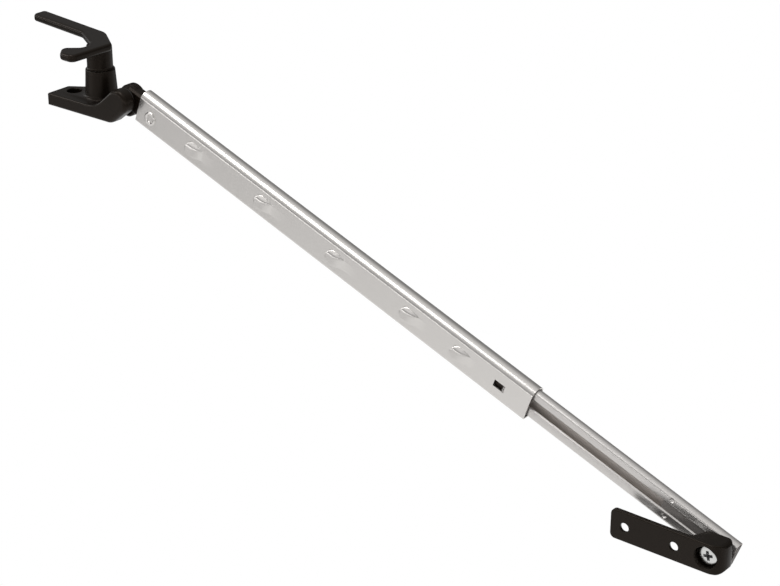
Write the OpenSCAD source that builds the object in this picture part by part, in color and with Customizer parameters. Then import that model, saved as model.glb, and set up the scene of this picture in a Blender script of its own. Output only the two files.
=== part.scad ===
// Telescopic window stay with a turn catch.
// The base is screwed to a window, the end bracket to its frame, and a ratchet arm joins the two.
// X runs along the base towards the arm, Y away from the viewer, Z up along the catch spindle.
// The origin is on the spindle axis, in the plane of the base's underside.

/* [Base] */
// Thickness of the base plate
plate_t = 7.6; // [7:0.2:9]
// Reach of the plate to the left of the spindle axis
plate_left = 32.2; // [30:0.2:38]
// Distance from the spindle axis to the front face
plate_front = 16.4; // [16:0.2:18]
// Distance from the spindle axis to the back edge
plate_back = 14; // [13:0.5:18]
// Width of the narrow left end
left_end_w = 16; // [15:0.5:18]
// Height of the pedestal's rim above the underside
pedestal_h = 27; // [25:0.5:31]
// Radius of the pedestal at its foot
pedestal_foot_r = 9.85; // [9.6:0.05:10.4]
// Radius of the pedestal at its rim
pedestal_rim_r = 9.1; // [8.9:0.05:9.4]
// Radius of the fixing screw's hole
fixing_r = 2.3; // [2:0.1:2.6]
// Radius of the fixing hole's countersink
fixing_sink_r = 5.4; // [4.8:0.1:5.6]
// Distance of the knuckle axis to the right of the spindle
knuckle_x = 32.8; // [32:0.2:38]
// Height of the knuckle axis above the underside
knuckle_z = 16; // [15:0.2:18]
// Radius of the ear that carries the knuckle pin
ear_r = 8.4; // [7.8:0.1:8.6]
// Thickness of the ear
ear_t = 6; // [5.6:0.1:6]

/* [Catch handle] */
// Radius of the handle's neck
neck_r = 7.75; // [7:0.05:8.2]
// Height of the neck from the pedestal's rim to the handle plate
neck_h = 14.3; // [11:0.1:18]
// Thickness of the handle plate
handle_t = 3.3; // [2.6:0.1:4.5]
// Reach of the long finger from the spindle axis
finger_reach = 79; // [60:1:90]
// Reach of the latch tongue from the spindle axis
tongue_reach = 33; // [28:0.5:38]

/* [Arm] */
// Angle that the arm hangs below the base's own line
arm_droop = 20.3; // [10:0.1:30]
// Distance of the arm's middle plane in front of the spindle axis
arm_front = 3.44; // [3.2:0.02:3.6]
// Length of the outer sleeve
sleeve_len = 326.7; // [300:1:360]
// Distance from the knuckle axis to the sleeve's end
sleeve_start = 10.5; // [10.2:0.1:12]
// Height of the sleeve's section
sleeve_h = 21.8; // [21.2:0.1:23]
// Depth of the sleeve's section
sleeve_d = 11; // [10.8:0.1:11.2]
// Thickness of the sleeve's wall
sleeve_wall = 0.8; // [0.6:0.1:0.9]
// Height of the inner channel's section
channel_h = 17.6; // [17:0.1:18]
// Depth of the inner channel's section
channel_d = 6.4; // [6.2:0.1:6.6]
// Thickness of the inner channel's wall
channel_wall = 1; // [0.8:0.1:1.1]
// Width of the slot along the inner channel
slot_w = 5.3; // [5:0.1:5.8]
// Distance from the knuckle axis to the bracket's pivot
pivot_reach = 472.7; // [460:1:480]

/* [End bracket] */
// Height of the bracket's bar
bar_h = 18.2; // [17:0.2:20]
// Thickness of the bracket's bar
bar_t = 2.8; // [2.4:0.1:4]
// Reach of the bar from the pivot
bar_reach = 60.7; // [58:0.1:70]
// Depth of the bracket's pivot block
block_d = 13.5; // [13:0.1:15]
// Radius of the bracket's two fixing holes
bar_hole_r = 2.95; // [2.2:0.05:3.4]
// Distance from the pivot to the nearer fixing hole
bar_hole_near = 19.6; // [18.5:0.1:21]
// Distance between the two fixing holes
bar_hole_gap = 32; // [30:0.5:34]

/* [Hidden] */
$fn = 64;
// Overrun of a cut past the surface that it opens
eps = 0.5;
// Overlap that joins two solids of one piece
lap = 0.1;
// Overrun of a cone past a face, too thin to change its rim
skin = 0.01;
// Smallest corner radius of a section that is drawn in
least_r = 0.4;
// Radial room of a turning fit
run_fit = 0.05;
// Room between parts that slide or turn past each other
slip = 0.3;
// Catch spindle: bore, stub, screw and washer
spindle_r = 5.5;
shoulder_z = 5.2;
sump_r = 7.6;
spindle_washer_t = 1;
spindle_head_r = 4.4;
spindle_head_h = 2.6;
spindle_screw_r = 2.2;
spindle_screw_len = 16;
spring_r = 7.7;
spring_t = 0.8;
collar_h = 1.4;
collar_slope_h = 1.5;
spindle_play = 0.3;
stub_z = shoulder_z - spindle_play;
foot_collar_w = 0.9;
foot_collar_h = 2.2;
// Base outline
plate_right = 17.5;
edge_round = 2;
back_flat = 10;
ear_foot_x = knuckle_x - 8;
rise_angle = 43;
rise_fillet_r = 20;
fixing_x = -plate_left + 10.9;
fixing_y = -4.2;
countersink_h = 3.1;
// Knuckle: the pin stands in a blind hole of the ear and turns in the plug
pin_r = 2.5;
pin_wall = 2;
pin_head_r = 4.6;
pin_head_h = 1.6;
ear_back = -plate_front + ear_t;
knuckle_washer_t = 0.5;
knuckle_washer_r = 7;
barrel_r = 8.6;
barrel_bevel = 1.6;
barrel_front = ear_back + knuckle_washer_t;
barrel_back = 0.6;
barrel_groove_r = 0.45;
barrel_groove_pitch = 1.9;
// Arm: sections are drawn about the middle plane, with the height along the arm's own Z
arm_y = -arm_front;
dome_rise = 0.5;
dome_r = sleeve_d / 2 + dome_rise;
dome_z = sleeve_h / 2 - dome_r;
sleeve_corner_r = 2.6;
sleeve_end = sleeve_start + sleeve_len;
sleeve_face = arm_y - sleeve_d / 2;
plug_room = 0.08;
plug_inset = sleeve_wall + plug_room;
plug_len = 24;
neck_front = sleeve_face + 0.9;
neck_back = arm_y + sleeve_d / 2 - 1.5;
neck_half = 7.4;
neck_bevel = 3;
plug_lap = 0.4;
rivet_s = 21.9;
rivet_r = 2.4;
rivet_head_r = 3.5;
rivet_head_h = 0.7;
rivet_n = -2.1;
// Lances: raised tongues that are sheared at one end and hold the pawl
lance_pitch = 61;
lance_steps = [0, 1, 2, 3, 3.66];
lance_len = 11;
lance_w = 8.4;
lance_rise = 1.2;
lance_n = -0.9;
lance_first = 55.2;
window_s = sleeve_end - 25.9;
window_len = 8.3;
window_w = 5.6;
window_n = -1.5;
tab_t = sleeve_wall;
tab_drop = 1.1;
tab_inset = 0.6;
// Inner channel
channel_face = arm_y - channel_d / 2;
channel_dome_r = channel_d / 2 + 1.1;
channel_top = dome_z + channel_dome_r;
channel_bottom = channel_top - channel_h;
channel_corner_r = 2;
slot_n = channel_top - channel_h / 2 + 0.2;
channel_start = 204;
channel_tail = 10;
channel_end = pivot_reach + channel_tail;
dimple_s = pivot_reach - 35.1;
dimple_off = 6.3;
dimple_r = 1.1;
dimple_depth = 0.35;
// Mouth guide, slide shoe and pawl
guide_len = 13;
guide_back = 4.2;
shoe_head_len = 8;
shoe_len = 52;
pawl_pin_s = channel_start + 14;
pawl_pin_r = 0.9;
pawl_eye_r = 1.9;
pawl_len = 26;
pawl_side = 0.45;
pawl_w = slot_w - 2 * pawl_side;
pawl_t = 1.6;
pawl_nose_len = 3;
pawl_y = channel_face + 2.54;
pocket_back = arm_y + channel_d / 2 - channel_wall - 0.65;
leaf_t = 0.35;
leaf_from = 5;
leaf_foot = 6;
leaf_to = 22;
// Bracket pivot
pivot_x = knuckle_x + pivot_reach * cos(arm_droop) + slot_n * sin(arm_droop);
pivot_z = knuckle_z - pivot_reach * sin(arm_droop) + slot_n * cos(arm_droop);
block_room = 0.2;
block_back = channel_face - block_room;
bracket_front = block_back - block_d;
block_half = bar_h / 2 + 0.1;
bracket_corner_r = 3.2;
block_fillet_r = 5;
bush_r = 4;
bush_bore_r = 2.6;
pivot_screw_r = 2.5;
pivot_head_r = 5.55;
pivot_head_h = 2.8;
head_sink = 4.3;
pivot_washer_r = 6;
pivot_washer_t = 1;
sink_r = pivot_washer_r + 0.6;
head_face = bracket_front + head_sink;
washer_front = head_face + pivot_head_h;
bush_front = washer_front + pivot_washer_t;
insert_len = 50;
insert_room = 0.1;
head_bevel = 0.5;
recess_w = 1.3;
recess_len = 6;
recess_depth = 1.6;

black = [0.11, 0.11, 0.115];
silver = [0.74, 0.73, 0.71];
zinc = [0.82, 0.82, 0.80];
steel = [0.55, 0.56, 0.58];
nylon = [0.9, 0.89, 0.85];

// Places its children in the arm's frame: X along the arm from the knuckle axis, Z across it
module on_arm() {
  translate([knuckle_x, 0, knuckle_z]) rotate([0, arm_droop, 0]) children();
}

// Turns a flat drawing of Y and Z into a bar along X
module along_x(from, to) {
  translate([from, 0, 0]) rotate([90, 0, 90]) linear_extrude(to - from) children();
}

// Turns a flat drawing of X and Z into a slab between two depths
module along_y(from, to) {
  translate([0, to, 0]) rotate([90, 0, 0]) linear_extrude(to - from) children();
}

// A cylinder along Y between two depths
module rod_y(from, to, r) {
  translate([0, from, 0]) rotate([-90, 0, 0]) cylinder(r = r, h = to - from);
}

// A rod along Y with bevelled ends
module bevelled_rod_y(from, to, r, bevel_from, bevel_to) {
  translate([0, from, 0]) rotate([-90, 0, 0]) rotate_extrude() polygon([
    [0, 0], [r - bevel_from, 0], [r, bevel_from],
    [r, to - from - bevel_to], [r - bevel_to, to - from], [0, to - from]
  ]);
}

// Rounded bar section with a domed top: depth, top radius, top, bottom and lower corner radius
module domed_section(d, r, mid, bottom, corner) {
  intersection() {
    translate([-d / 2, bottom]) square([d, mid + r - bottom]);
    union() {
      translate([0, mid]) circle(r);
      translate([-d / 2, bottom + corner]) square([d, mid - bottom - corner]);
      translate([-d / 2 + corner, bottom]) square([d - 2 * corner, corner + eps]);
      for (side = [-1, 1]) translate([side * (d / 2 - corner), bottom + corner]) circle(corner);
    }
  }
}

// The sleeve's section, drawn in by an even amount
module sleeve_section(inset) {
  translate([arm_y, 0]) domed_section(
    sleeve_d - 2 * inset, dome_r - inset, dome_z, -sleeve_h / 2 + inset, max(sleeve_corner_r - inset, least_r)
  );
}

// The inner channel's section, drawn in by an even amount
module channel_section(inset) {
  translate([arm_y, 0]) domed_section(
    channel_d - 2 * inset, channel_dome_r - inset, dome_z, channel_bottom + inset,
    max(channel_corner_r - inset, least_r)
  );
}

// Touch angle of a line from a point to a circle, on the side that turn picks
function touch(point, centre, r, turn) =
  let (d = point - centre)
  let (far = norm(d))
  let (angle = atan2(d[1], d[0]) + turn * acos(r / far))
  centre + r * [cos(angle), sin(angle)];

// Side view of the front wall: foot, sloping underside, ear and the rise to it
module ear_profile() {
  centre = [knuckle_x, knuckle_z];
  foot = [ear_foot_x, 0];
  low = touch(foot, centre, ear_r, 1);
  up = [cos(rise_angle), sin(rise_angle)];
  high = centre + ear_r * [-up[1], up[0]];
  rise = [high[0] - (high[1] - plate_t) / tan(rise_angle), plate_t];
  run = rise_fillet_r * tan(rise_angle / 2);
  start = rise - [run, 0];
  translate(centre) circle(ear_r);
  polygon([[start[0], 0], foot, low, centre, high, rise, start]);
  // Hollow curve where the plate's top runs up into the ear
  difference() {
    polygon([start, rise, rise + run * up]);
    translate(start + [0, rise_fillet_r]) circle(rise_fillet_r, $fn = 128);
  }
}

module plate_outline() {
  offset(r = edge_round) offset(delta = -edge_round) polygon([
    [-plate_left, -plate_front], [plate_right, -plate_front], [plate_right, plate_back - back_flat],
    [back_flat, plate_back], [-back_flat, plate_back], [-plate_left, -plate_front + left_end_w]
  ]);
}

module base() {
  foot_r = pedestal_foot_r;
  color(black) difference() {
    union() {
      linear_extrude(plate_t) plate_outline();
      along_y(-plate_front, ear_back) ear_profile();
      cylinder(r1 = pedestal_foot_r, r2 = pedestal_rim_r, h = pedestal_h);
      translate([0, 0, plate_t])
        cylinder(r1 = foot_r + foot_collar_w, r2 = foot_r - foot_collar_w / 2, h = foot_collar_h);
    }
    translate([0, 0, shoulder_z]) cylinder(r = spindle_r + run_fit, h = pedestal_h);
    translate([0, 0, -eps]) cylinder(r = sump_r, h = shoulder_z + eps);
    translate([0, 0, pedestal_h - spring_t]) cylinder(r = spring_r + slip, h = spring_t + eps);
    translate([fixing_x, fixing_y, -eps]) cylinder(r = fixing_r, h = plate_t + 2 * eps);
    translate([fixing_x, fixing_y, plate_t - countersink_h])
      cylinder(r1 = fixing_r, r2 = fixing_sink_r, h = countersink_h + skin);
    translate([knuckle_x, 0, knuckle_z]) rod_y(-plate_front + pin_wall, ear_back + eps, pin_r);
  }
}

// Plan of the handle: a long finger, a hooked latch tongue and the hollow between them
module handle_outline() {
  inner_round = 6;
  outer_round = 4;
  finger_w = 9.6;
  finger_y = 18.6;
  tongue_x = 10.4;
  offset(r = -inner_round) offset(delta = inner_round)
    offset(r = outer_round) offset(delta = -outer_round) polygon([
      [-finger_reach, finger_y + finger_w / 2], [-10, finger_y - 3], [tongue_x, 0.5],
      [tongue_x - 0.4, -tongue_reach], [-2, -tongue_reach], [-9, -tongue_reach + 8],
      [1, -tongue_reach + 16], [1.4, -11.5], [-5, -4.6], [-25, finger_y - finger_w],
      [-finger_reach, finger_y - finger_w / 2]
    ]);
}

module catch_handle() {
  rim_z = pedestal_h + slip;
  plate_z = pedestal_h + neck_h;
  color(black) difference() {
    union() {
      translate([0, 0, stub_z]) cylinder(r = spindle_r, h = rim_z - stub_z + eps);
      translate([0, 0, rim_z]) cylinder(r = pedestal_rim_r, h = collar_h);
      translate([0, 0, rim_z + collar_h])
        cylinder(r1 = pedestal_rim_r, r2 = neck_r, h = collar_slope_h);
      translate([0, 0, rim_z]) cylinder(r = neck_r, h = plate_z - rim_z + eps);
      translate([0, 0, plate_z]) linear_extrude(handle_t) handle_outline();
    }
    translate([0, 0, stub_z - eps]) cylinder(r = spindle_screw_r, h = spindle_screw_len + eps);
  }
}

module spring_washer() {
  color(steel) translate([0, 0, pedestal_h - spring_t]) difference() {
    cylinder(r = spring_r, h = spring_t + slip - run_fit);
    translate([0, 0, -eps]) cylinder(r = spindle_r + slip, h = spring_t + slip + 2 * eps);
  }
}

module spindle_washer() {
  color(zinc) translate([0, 0, stub_z - spindle_washer_t]) difference() {
    cylinder(r = sump_r - slip, h = spindle_washer_t);
    translate([0, 0, -eps]) cylinder(r = spindle_screw_r + run_fit, h = spindle_washer_t + 2 * eps);
  }
}

module spindle_screw() {
  seat = stub_z - spindle_washer_t;
  color(zinc) difference() {
    union() {
      translate([0, 0, seat - spindle_head_h]) cylinder(r = spindle_head_r, h = spindle_head_h);
      translate([0, 0, seat - eps]) cylinder(r = spindle_screw_r, h = spindle_screw_len - 1 + eps);
    }
    translate([0, 0, seat - spindle_head_h - eps]) linear_extrude(recess_depth + eps)
      cross(recess_len * 0.75, recess_w);
  }
}

// Plan of a cross recess
module cross(length, width) {
  square([length, width], center = true);
  square([width, length], center = true);
}

module knuckle_pin() {
  head = barrel_back + slip;
  color(steel) translate([knuckle_x, 0, knuckle_z]) {
    rod_y(-plate_front + pin_wall, head + eps, pin_r);
    bevelled_rod_y(head, head + pin_head_h, pin_head_r, 0, head_bevel);
  }
}

module knuckle_washer() {
  color(nylon) translate([knuckle_x, 0, knuckle_z]) difference() {
    rod_y(ear_back + run_fit, barrel_front - run_fit, knuckle_washer_r);
    rod_y(ear_back - eps, barrel_front + eps, pin_r + run_fit);
  }
}

// Section of the plug's neck: a block with its upper front edge bevelled
module neck_section() {
  polygon([
    [neck_front, -neck_half], [neck_front, neck_half - neck_bevel],
    [neck_front + neck_bevel, neck_half], [neck_back, neck_half], [neck_back, -neck_half]
  ]);
}

module arm_plug() {
  color(black) on_arm() difference() {
    union() {
      bevelled_rod_y(barrel_front, barrel_back, barrel_r, barrel_bevel, head_bevel);
      along_x(0, sleeve_start + eps) neck_section();
      along_x(sleeve_start - plug_lap, sleeve_start + plug_len) sleeve_section(plug_inset);
    }
    rod_y(barrel_front - eps, barrel_back + eps, pin_r + run_fit);
    // Grip grooves around the barrel's far half
    for (i = [1:3]) translate([0, barrel_back - i * barrel_groove_pitch, 0]) rotate([-90, 0, 0])
      rotate_extrude() translate([barrel_r, 0]) circle(barrel_groove_r);
    translate([rivet_s, 0, rivet_n]) rod_y(sleeve_face - eps, arm_y + sleeve_d / 2 + eps, rivet_r);
  }
}

module plug_rivet() {
  back = arm_y + sleeve_d / 2;
  color(silver) on_arm() translate([rivet_s, 0, rivet_n]) {
    rod_y(sleeve_face - lap, back + lap, rivet_r);
    bevelled_rod_y(sleeve_face - rivet_head_h, sleeve_face, rivet_head_r, head_bevel, 0);
    bevelled_rod_y(back, back + rivet_head_h, rivet_head_r, 0, head_bevel);
  }
}

// Plan of a lance along the arm: round at its sheared end
module lance_plan() {
  half = lance_w / 2;
  translate([half, 0]) circle(half);
  translate([half, -half]) square([lance_len - half, lance_w]);
}

// Slab of a lance between its plan and a profile of length and depth
module lance_slab(profile) {
  intersection() {
    along_y(-2 * lance_rise, 2 * lance_rise) lance_plan();
    translate([0, 0, -lance_w]) linear_extrude(2 * lance_w) polygon(profile);
  }
}

module outer_sleeve() {
  under = sleeve_wall;
  color(silver) on_arm() {
    difference() {
      union() {
        along_x(sleeve_start, sleeve_end) sleeve_section(0);
        for (step = lance_steps) translate([lance_first + step * lance_pitch, sleeve_face, lance_n])
          lance_slab([[0, -lance_rise], [lance_len, 0], [lance_len, lap], [0, lap]]);
      }
      along_x(sleeve_start - eps, sleeve_end + eps) sleeve_section(sleeve_wall);
      for (step = lance_steps) translate([lance_first + step * lance_pitch, sleeve_face, lance_n])
        lance_slab([[0, under - lance_rise], [lance_len, under], [lance_len, under + lap], [0, under + lap]]);
      translate([window_s, sleeve_face - eps, window_n - window_w / 2])
        cube([window_len, sleeve_wall + 2 * eps, window_w]);
      translate([rivet_s, 0, rivet_n])
        rod_y(sleeve_face - eps, arm_y + sleeve_d / 2 + eps, rivet_r);
    }
    // Tab bent in from the window's far edge
    translate([window_s + window_len - tab_t, sleeve_face, window_n - window_w / 2 + tab_inset])
      cube([tab_t + lap, sleeve_wall + tab_drop, window_w - 2 * tab_inset]);
  }
}

module mouth_guide() {
  color(black) on_arm() along_x(sleeve_end - guide_back - guide_len, sleeve_end - guide_back) difference() {
    sleeve_section(sleeve_wall + plug_room);
    channel_section(-slip);
  }
}

module inner_channel() {
  color(silver) on_arm() difference() {
    along_x(channel_start, channel_end) channel_section(0);
    along_x(channel_start - eps, channel_end + eps) channel_section(channel_wall);
    translate([channel_start - eps, channel_face - eps, slot_n - slot_w / 2])
      cube([channel_end - channel_start + 2 * eps, channel_wall + 2 * eps, slot_w]);
    for (side = [-1, 1]) translate([dimple_s, 0, slot_n + side * dimple_off])
      rod_y(channel_face - eps, channel_face + dimple_depth, dimple_r);
  }
}

module slide_shoe() {
  pocket_from = pawl_pin_s - pawl_eye_r - slip;
  color(nylon) on_arm() difference() {
    union() {
      along_x(channel_start - shoe_head_len, channel_start - run_fit) sleeve_section(sleeve_wall + slip);
      along_x(channel_start - lap, channel_start + shoe_len) channel_section(channel_wall + insert_room);
    }
    // Pocket for the pawl and its spring, open to the slot
    translate([pocket_from, channel_face - eps, slot_n - pawl_w / 2 - slip])
      cube([shoe_len, pocket_back - channel_face + eps, pawl_w + 2 * slip]);
    translate([pawl_pin_s, pawl_y, channel_bottom]) cylinder(r = pawl_pin_r, h = channel_h);
  }
}

module pawl() {
  front = sleeve_face + sleeve_wall + slip;
  color(steel) on_arm() translate([0, 0, slot_n - pawl_w / 2]) difference() {
    union() {
      translate([pawl_pin_s, pawl_y, 0]) cylinder(r = pawl_eye_r, h = pawl_w);
      translate([pawl_pin_s, pawl_y - pawl_t / 2, 0]) cube([pawl_len, pawl_t, pawl_w]);
      translate([pawl_pin_s + pawl_len - pawl_nose_len, front, 0])
        cube([pawl_nose_len, pawl_y - front, pawl_w]);
    }
    translate([pawl_pin_s, pawl_y, -eps]) cylinder(r = pawl_pin_r + run_fit, h = pawl_w + 2 * eps);
  }
}

module pawl_pin() {
  reach = channel_h / 2 - channel_wall - pawl_eye_r / 2;
  color(steel) on_arm() translate([pawl_pin_s, pawl_y, slot_n - reach])
    cylinder(r = pawl_pin_r, h = 2 * reach);
}

module pawl_spring() {
  seat = pocket_back - run_fit;
  touch_y = pawl_y + pawl_t / 2 + run_fit;
  color(steel) on_arm() translate([pawl_pin_s, 0, slot_n - pawl_w / 2 + slip])
    linear_extrude(pawl_w - 2 * slip) polygon([
      [leaf_from, seat], [leaf_from, seat - leaf_t], [leaf_from + leaf_foot, seat - leaf_t],
      [leaf_to, touch_y], [leaf_to, touch_y + leaf_t], [leaf_from + leaf_foot, seat]
    ]);
}

module end_insert() {
  color(black) on_arm() difference() {
    along_x(channel_end - insert_len, channel_end - slip) channel_section(channel_wall + insert_room);
    translate([pivot_reach, 0, slot_n]) rod_y(channel_face - eps, arm_y + channel_d, pivot_screw_r);
  }
}

// Places its children on the bracket's pivot axis
module on_pivot() {
  translate([pivot_x, 0, pivot_z]) children();
}

module pivot_bush() {
  color(zinc) on_pivot() difference() {
    rod_y(bush_front, channel_face, bush_r);
    rod_y(bush_front - eps, channel_face + eps, bush_bore_r);
  }
}

module pivot_washer() {
  color(zinc) on_pivot() difference() {
    rod_y(washer_front, bush_front, pivot_washer_r);
    rod_y(washer_front - eps, bush_front + eps, bush_bore_r);
  }
}

module pivot_screw() {
  tip = arm_y + channel_d / 2 - channel_wall - slip;
  color(zinc) on_pivot() difference() {
    union() {
      bevelled_rod_y(head_face, washer_front, pivot_head_r, head_bevel, 0);
      rod_y(washer_front - eps, tip, pivot_screw_r);
    }
    along_y(head_face - eps, head_face + recess_depth) cross(recess_len, recess_w);
  }
}

// Side view of the bracket: a bar with rounded corners
module bracket_outline() {
  offset(r = bracket_corner_r) offset(delta = -bracket_corner_r)
    translate([-bar_reach, -bar_h / 2]) square([bar_reach + block_half, bar_h]);
}

// Plan of the block behind the bar, with a hollow curve where it leaves the bar
module block_plan() {
  root = bracket_front + bar_t;
  translate([-block_half, bracket_front]) square([2 * block_half, block_d]);
  difference() {
    translate([-block_half - block_fillet_r, root - lap]) square(block_fillet_r + lap);
    translate([-block_half - block_fillet_r, root + block_fillet_r]) circle(block_fillet_r);
  }
}

module end_bracket() {
  color(black) on_pivot() difference() {
    union() {
      along_y(bracket_front, bracket_front + bar_t) bracket_outline();
      intersection() {
        along_y(bracket_front, block_back) bracket_outline();
        translate([0, 0, -bar_h]) linear_extrude(2 * bar_h) block_plan();
      }
    }
    rod_y(bracket_front - eps, block_back + eps, bush_r + run_fit);
    rod_y(bracket_front - eps, bush_front + block_room, sink_r);
    for (x = [bar_hole_near, bar_hole_near + bar_hole_gap]) translate([-x, 0, 0])
      rod_y(bracket_front - eps, bracket_front + bar_t + eps, bar_hole_r);
  }
}

base();
catch_handle();
spring_washer();
spindle_washer();
spindle_screw();
knuckle_pin();
knuckle_washer();
arm_plug();
plug_rivet();
outer_sleeve();
mouth_guide();
inner_channel();
slide_shoe();
pawl();
pawl_pin();
pawl_spring();
end_insert();
pivot_bush();
pivot_washer();
pivot_screw();
end_bracket();
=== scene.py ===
# %% [markdown]
# # A telescopic window stay
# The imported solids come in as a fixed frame: every body already sits where it belongs and turns
# on its own joint. This lesson dresses that frame. The moulded black pieces, the two sheet-metal
# rails and the screws are modelled again with the soft edges and pressed details of real ones,
# and the hidden pieces keep their solids and get a finish.

# %% Load the frame
import math

import bmesh
import bpy
import numpy as np
from mathutils import Matrix, Vector


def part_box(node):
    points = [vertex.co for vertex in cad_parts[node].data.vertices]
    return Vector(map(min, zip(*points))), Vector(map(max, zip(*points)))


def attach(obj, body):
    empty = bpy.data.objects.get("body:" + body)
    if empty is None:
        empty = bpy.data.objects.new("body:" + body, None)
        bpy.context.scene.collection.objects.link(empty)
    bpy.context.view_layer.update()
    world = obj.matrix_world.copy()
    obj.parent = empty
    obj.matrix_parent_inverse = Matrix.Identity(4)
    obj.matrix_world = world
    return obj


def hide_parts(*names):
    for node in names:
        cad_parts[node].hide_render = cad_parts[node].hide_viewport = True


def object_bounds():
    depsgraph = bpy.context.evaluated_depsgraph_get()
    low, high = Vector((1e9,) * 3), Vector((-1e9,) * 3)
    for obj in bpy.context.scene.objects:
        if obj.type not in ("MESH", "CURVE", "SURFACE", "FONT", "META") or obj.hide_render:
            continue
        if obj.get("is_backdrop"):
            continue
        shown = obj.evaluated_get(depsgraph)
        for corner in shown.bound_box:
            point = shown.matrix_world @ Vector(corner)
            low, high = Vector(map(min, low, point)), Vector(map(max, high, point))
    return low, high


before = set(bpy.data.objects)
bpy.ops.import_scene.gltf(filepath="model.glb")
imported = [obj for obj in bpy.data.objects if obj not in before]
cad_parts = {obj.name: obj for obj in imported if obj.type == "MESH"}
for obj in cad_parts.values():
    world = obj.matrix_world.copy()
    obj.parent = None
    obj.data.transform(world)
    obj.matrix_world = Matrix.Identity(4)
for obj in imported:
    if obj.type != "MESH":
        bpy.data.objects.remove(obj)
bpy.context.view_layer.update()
MM = 0.001

# %% [markdown]
# ## Camera
# The photograph was solved as a perspective view: a long lens, a little above the stay and to its
# right. A camera has no size of its own, so it is enough to give its place, the way it looks and
# the lens. `to_track_quat` turns a looking direction into a rotation.

# %% Camera
LOOK_AZIMUTH = math.radians(38.78)
LOOK_ELEVATION = math.radians(24.64)
CAMERA_PLACE = (0.9451, -0.87727, 0.45211)
SENSOR_MM, LENS_MM = 36.0, 95.46

camera_data = bpy.data.cameras.new("photo_view")
camera_data.sensor_fit = "HORIZONTAL"
camera_data.sensor_width, camera_data.lens = SENSOR_MM, LENS_MM
camera_data.clip_start, camera_data.clip_end = 0.05, 50.0
camera = bpy.data.objects.new("photo_view", camera_data)
bpy.context.scene.collection.objects.link(camera)
backwards = Vector((
    math.sin(LOOK_AZIMUTH) * math.cos(LOOK_ELEVATION),
    -math.cos(LOOK_AZIMUTH) * math.cos(LOOK_ELEVATION),
    math.sin(LOOK_ELEVATION),
))
camera.location = CAMERA_PLACE
camera.rotation_mode = "QUATERNION"
camera.rotation_quaternion = (-backwards).to_track_quat("-Z", "Y")
bpy.context.scene.camera = camera
print("camera looks along", [round(v, 3) for v in -backwards])

# %% [markdown]
# ## Light
# Bright metal shows its surroundings, so the light is mostly a room. The sky has one tone in
# front of the stay and a darker one behind it, and each is a colour ramp from the horizon to
# overhead. A bright band along the front horizon draws the thin line on the sleeve's bend. Two
# soft lamps do the rest: the one above the arm makes the long white line on the rounded rails,
# and the one at the left lights the front faces.

# %% Node helpers
def node_tree(owner):
    """An emptied node tree of a material or a world."""
    owner.use_nodes = True
    owner.node_tree.nodes.clear()
    return owner.node_tree


def add_node(tree, kind, **values):
    """A new node, with its sockets set by name."""
    node = tree.nodes.new(kind)
    for name, value in values.items():
        node.inputs[name.replace("_", " ")].default_value = value
    return node


def tone_ramp(tree, stops):
    """A colour ramp of greys from stops of (position, grey)."""
    ramp = add_node(tree, "ShaderNodeValToRGB")
    for i, (position, grey) in enumerate(stops):
        spot = ramp.color_ramp.elements[i] if i < 2 else ramp.color_ramp.elements.new(position)
        spot.position, spot.color = position, (grey, grey, grey, 1)
    return ramp


# %% Sky
FRONT_SKY = [
    (0.0, 3.2), (0.17, 3.2), (0.23, 0.36), (0.52, 0.33), (0.68, 0.46), (0.85, 0.75), (1.0, 0.8),
]
BACK_SKY = [(0.0, 0.19), (0.48, 0.19), (0.72, 0.33), (0.86, 0.5), (1.0, 0.8)]
world = bpy.data.worlds.new("studio")
bpy.context.scene.world = world
sky = node_tree(world)
direction = add_node(sky, "ShaderNodeTexCoord")
split = add_node(sky, "ShaderNodeSeparateXYZ")
height = add_node(sky, "ShaderNodeMapRange", From_Min=-0.2, From_Max=1.0)
behind = add_node(sky, "ShaderNodeMapRange", From_Min=-0.25, From_Max=0.6)
front_tone = tone_ramp(sky, FRONT_SKY)
back_tone = tone_ramp(sky, BACK_SKY)
around = add_node(sky, "ShaderNodeMix")
around.data_type = "RGBA"
sky_light = add_node(sky, "ShaderNodeBackground", Strength=1.0)
sky_out = add_node(sky, "ShaderNodeOutputWorld")
sky.links.new(direction.outputs["Generated"], split.inputs[0])
sky.links.new(split.outputs["Z"], height.inputs["Value"])
sky.links.new(split.outputs["Y"], behind.inputs["Value"])
sky.links.new(height.outputs["Result"], front_tone.inputs["Fac"])
sky.links.new(height.outputs["Result"], back_tone.inputs["Fac"])
sky.links.new(behind.outputs["Result"], around.inputs["Factor"])
sky.links.new(front_tone.outputs["Color"], around.inputs["A"])
sky.links.new(back_tone.outputs["Color"], around.inputs["B"])
sky.links.new(around.outputs["Result"], sky_light.inputs["Color"])
sky.links.new(sky_light.outputs[0], sky_out.inputs["Surface"])
print("sky of", len(FRONT_SKY), "tones in front and", len(BACK_SKY), "behind")

# %% Lamps
def soft_lamp(name, place, size, watts, aim, turn=0.0):
    """A rectangular lamp that shines at a point, turned about its own axis."""
    data = bpy.data.lights.new(name, "AREA")
    data.shape = "RECTANGLE"
    data.size, data.size_y = size
    data.energy = watts
    lamp = bpy.data.objects.new(name, data)
    lamp.location = place
    facing = (Vector(aim) - Vector(place)).to_track_quat("-Z", "Y").to_matrix()
    lamp.rotation_euler = (facing @ Matrix.Rotation(math.radians(turn), 3, "Z")).to_euler()
    bpy.context.scene.collection.objects.link(lamp)


soft_lamp("overhead", (-0.14, -0.46, 1.45), (0.80, 0.50), 7.5, (-0.14, -0.46, 0.0), turn=-32)
soft_lamp("side", (-1.30, -0.72, 1.10), (0.8, 0.7), 7.0, (0.0, 0.0, 0.0))

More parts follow.
